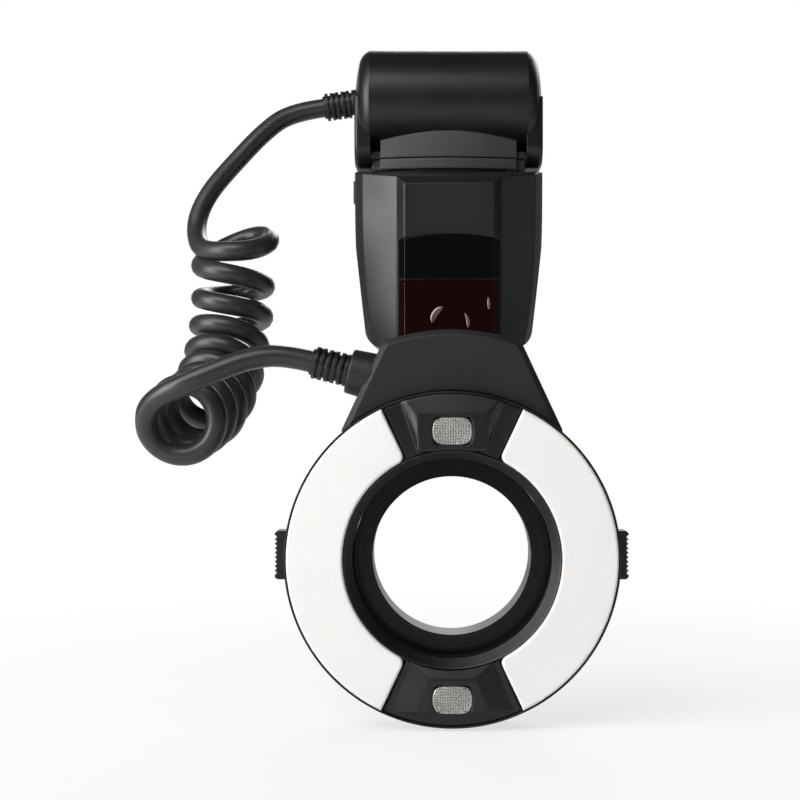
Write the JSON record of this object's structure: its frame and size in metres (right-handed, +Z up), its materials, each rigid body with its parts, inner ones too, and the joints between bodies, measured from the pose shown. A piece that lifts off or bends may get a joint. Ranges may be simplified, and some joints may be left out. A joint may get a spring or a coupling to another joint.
{
  "type": "macro ring flash",
  "caption": "Macro ring flash: a ring head with opal windows under a hood, joined by a coiled cord to an upright controller with a drum on top and a hot-shoe foot.",
  "frame": {"origin": "centre of the underside of the hot-shoe foot's plate", "axes": "+Z up out of the shoe, -Y the way the lens and both flash windows face, +X to the right seen from the front"},
  "size_m": [0.173, 0.1393, 0.2524],
  "materials": {
    "black_plastic": "satin black moulding",
    "textured_plastic": "fine grained dark grey moulding",
    "opal": "opal white, soft gloss",
    "clear": "clear",
    "red_window": "deep red, glossy",
    "black_window": "glossy black",
    "bright_metal": "bright reflector",
    "steel": "plated steel",
    "gold_contact": "gold plated",
    "anodised": "black anodised",
    "cord_sheath": "satin black sheath",
    "circuit_board": "green board",
    "copper": "wound copper",
    "lamp": "lamp with a pale dome",
    "capacitor": "sleeved can",
    "cell": "plain sleeve",
    "display": "display module",
    "key": "dark grey key"
  },
  "bodies": {
    "flash": {"aa_cells": "cell", "assist_lamp_reflectors": "bright_metal", "assist_window": "red_window", "battery_contacts": "steel", "battery_door_pin": "steel", "battery_tray": "black_plastic", "body_front_shell": "black_plastic", "body_rear_shell": "black_plastic", "bottom_spacer": "black_plastic", "cable_horn": "textured_plastic", "case_screws": "steel", "controller_boards": "circuit_board", "cord_anchor": "black_plastic", "cord_coil": "cord_sheath", "cord_lead_lower": "cord_sheath", "cord_lead_upper": "cord_sheath", "drum_front_shell": "black_plastic", "drum_rear_shell": "black_plastic", "flash_capacitor": "capacitor", "flash_reflectors": "bright_metal", "flash_tubes": "clear", "hood_front_cover": "textured_plastic", "lamp_leds": "lamp", "lamp_lenses": "clear", "lcd_panel": "display", "lcd_window": "clear", "left_diffuser": "opal", "neck_lower": "black_plastic", "neck_upper": "black_plastic", "right_diffuser": "opal", "ring_circuit_board": "circuit_board", "ring_front_frame": "black_plastic", "ring_rear_housing": "black_plastic", "sensor_window": "black_window", "shoe_foot": "anodised", "strain_relief_drum": "cord_sheath", "strain_relief_ring": "cord_sheath", "top_spacer": "black_plastic", "trigger_coil": "copper"},
    "release_button_right": {"release_button_right": "black_plastic", "release_springs_right": "steel"},
    "release_button_left": {"release_button_left": "black_plastic", "release_springs_left": "steel"},
    "adapter_ring": {"adapter_ring": "anodised"},
    "battery_door": {"battery_door": "black_plastic", "battery_door_contacts": "steel"},
    "power_switch": {"power_switch": "key"},
    "lock_wheel": {"lock_wheel": "anodised"},
    "lock_pin": {"lock_pin": "steel"},
    "contact_pins": {"contact_pins": "gold_contact"},
    "function_key_1": {"function_key_1": "key"},
    "function_key_2": {"function_key_2": "key"},
    "function_key_3": {"function_key_3": "key"},
    "function_key_4": {"function_key_4": "key"},
    "pad_key_up": {"pad_key_up": "key"},
    "pad_key_down": {"pad_key_down": "key"},
    "pad_key_left": {"pad_key_left": "key"},
    "pad_key_right": {"pad_key_right": "key"},
    "ok_key": {"ok_key": "key"},
    "test_button": {"test_button": "key"}
  },
  "joints": [
    {"name": "release_right_press", "type": "slide", "parent": "flash", "child": "release_button_right", "axis": [-1, 0, 0], "range_m": [0, 0.0025], "stiffness_N_per_m": 900, "springref_m": -0.003},
    {"name": "release_left_press", "type": "slide", "parent": "flash", "child": "release_button_left", "axis": [1, 0, 0], "range_m": [0, 0.0025], "stiffness_N_per_m": 900, "springref_m": -0.003},
    {"name": "adapter_turn", "type": "hinge", "parent": "flash", "child": "adapter_ring", "pos_m": [0, -0.088, -0.056], "axis": [0, 1, 0], "continuous": true},
    {"name": "battery_door_hinge", "type": "hinge", "parent": "flash", "child": "battery_door", "pos_m": [-0.0349, 0.0182, 0.0644], "axis": [0, 0, -1], "range_deg": [0, 90]},
    {"name": "power_switch_slide", "type": "slide", "parent": "flash", "child": "power_switch", "axis": [0, 0, 1], "range_m": [0, 0.004]},
    {"name": "lock_wheel_turn", "type": "hinge", "parent": "flash", "child": "lock_wheel", "pos_m": [0, 0, 0.0075], "axis": [0, 0, 1], "range_deg": [0, 90]},
    {"name": "lock_pin_drop", "type": "slide", "parent": "flash", "child": "lock_pin", "axis": [0, 0, -1], "range_m": [0, 0.0013]},
    {"name": "contact_pins_press", "type": "slide", "parent": "flash", "child": "contact_pins", "axis": [0, 0, 1], "range_m": [0, 0.0003], "stiffness_N_per_m": 1500, "springref_m": -0.0003},
    {"name": "function_key_1_press", "type": "slide", "parent": "flash", "child": "function_key_1", "axis": [0, -1, 0], "range_m": [0, 0.0008], "stiffness_N_per_m": 1200, "springref_m": -0.0003},
    {"name": "function_key_2_press", "type": "slide", "parent": "flash", "child": "function_key_2", "axis": [0, -1, 0], "range_m": [0, 0.0008], "stiffness_N_per_m": 1200, "springref_m": -0.0003},
    {"name": "function_key_3_press", "type": "slide", "parent": "flash", "child": "function_key_3", "axis": [0, -1, 0], "range_m": [0, 0.0008], "stiffness_N_per_m": 1200, "springref_m": -0.0003},
    {"name": "function_key_4_press", "type": "slide", "parent": "flash", "child": "function_key_4", "axis": [0, -1, 0], "range_m": [0, 0.0008], "stiffness_N_per_m": 1200, "springref_m": -0.0003},
    {"name": "pad_key_up_press", "type": "slide", "parent": "flash", "child": "pad_key_up", "axis": [0, -1, 0], "range_m": [0, 0.0008], "stiffness_N_per_m": 1200, "springref_m": -0.0003},
    {"name": "pad_key_down_press", "type": "slide", "parent": "flash", "child": "pad_key_down", "axis": [0, -1, 0], "range_m": [0, 0.0008], "stiffness_N_per_m": 1200, "springref_m": -0.0003},
    {"name": "pad_key_left_press", "type": "slide", "parent": "flash", "child": "pad_key_left", "axis": [0, -1, 0], "range_m": [0, 0.0008], "stiffness_N_per_m": 1200, "springref_m": -0.0003},
    {"name": "pad_key_right_press", "type": "slide", "parent": "flash", "child": "pad_key_right", "axis": [0, -1, 0], "range_m": [0, 0.0008], "stiffness_N_per_m": 1200, "springref_m": -0.0003},
    {"name": "ok_key_press", "type": "slide", "parent": "flash", "child": "ok_key", "axis": [0, -1, 0], "range_m": [0, 0.0008], "stiffness_N_per_m": 1200, "springref_m": -0.0003},
    {"name": "test_button_press", "type": "slide", "parent": "flash", "child": "test_button", "axis": [0, -1, 0], "range_m": [0, 0.0008], "stiffness_N_per_m": 1200, "springref_m": -0.0003}
  ],
  "couplings": [
    {"joint": "lock_pin_drop", "follows": "lock_wheel_turn", "m_per_rad": 0.00082}
  ]
}
